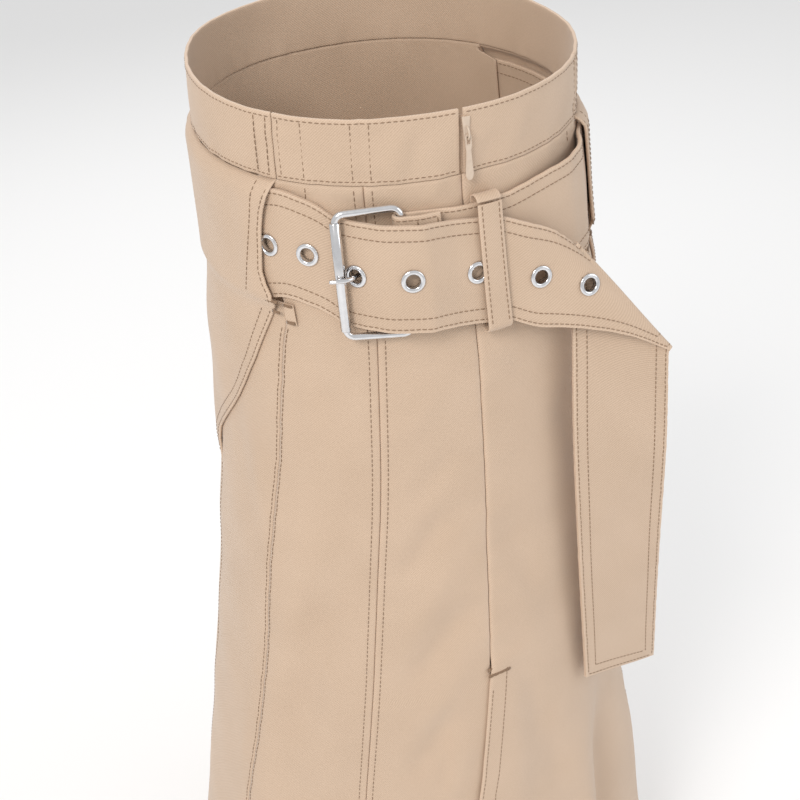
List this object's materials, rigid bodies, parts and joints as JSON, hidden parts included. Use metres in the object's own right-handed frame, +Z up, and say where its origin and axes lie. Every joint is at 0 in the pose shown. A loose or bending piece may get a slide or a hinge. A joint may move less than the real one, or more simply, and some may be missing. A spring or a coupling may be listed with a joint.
{
  "type": "cargo skirt",
  "caption": "High-waisted A-line cargo skirt in tan twill with its own buckled belt, worn shape, front slit, angled pockets, and the belt's free end hanging as a tail.",
  "frame": {"origin": "middle of the wearer's waist at belt height, the skirt's own waist where it is held", "axes": "+Z up, the wearer faces -Y, the wearer's left side is +X"},
  "size_m": [0.4079, 0.3583, 0.8123],
  "materials": {
    "tan_twill": "cotton twill with a slight sheen",
    "polished_nickel": "polished nickel plate",
    "beige_enamel": "enamelled zinc, dyed to match the cloth"
  },
  "bodies": {
    "skirt": {"back_panel": "tan_twill", "belt_keeper": "tan_twill", "belt_strap": "tan_twill", "belt_tail": "tan_twill", "belt_tongue": "tan_twill", "buckle_frame": "polished_nickel", "buckle_prong": "polished_nickel", "buckle_roller": "polished_nickel", "eyelet_1": "polished_nickel", "eyelet_2": "polished_nickel", "eyelet_3": "polished_nickel", "eyelet_4": "polished_nickel", "eyelet_5": "polished_nickel", "eyelet_6": "polished_nickel", "eyelet_7": "polished_nickel", "front_left": "tan_twill", "front_left_side": "tan_twill", "front_right_centre": "tan_twill", "front_right_middle": "tan_twill", "front_right_side": "tan_twill", "side_panel_left": "tan_twill", "side_panel_right": "tan_twill", "slot_bar_left": "tan_twill", "slot_bar_right": "tan_twill", "waistband_back": "tan_twill", "waistband_front_left": "tan_twill", "waistband_front_right": "tan_twill", "zip_slider": "beige_enamel", "zip_tape": "tan_twill"},
    "pull_tab": {"zip_pull": "beige_enamel"}
  },
  "joints": [
    {"name": "pull_tab_hinge", "type": "hinge", "parent": "skirt", "child": "pull_tab", "pos_m": [0.00026, -0.11201, 0.04691], "axis": [-1, 0, 0], "range_deg": [0, 140]}
  ]
}
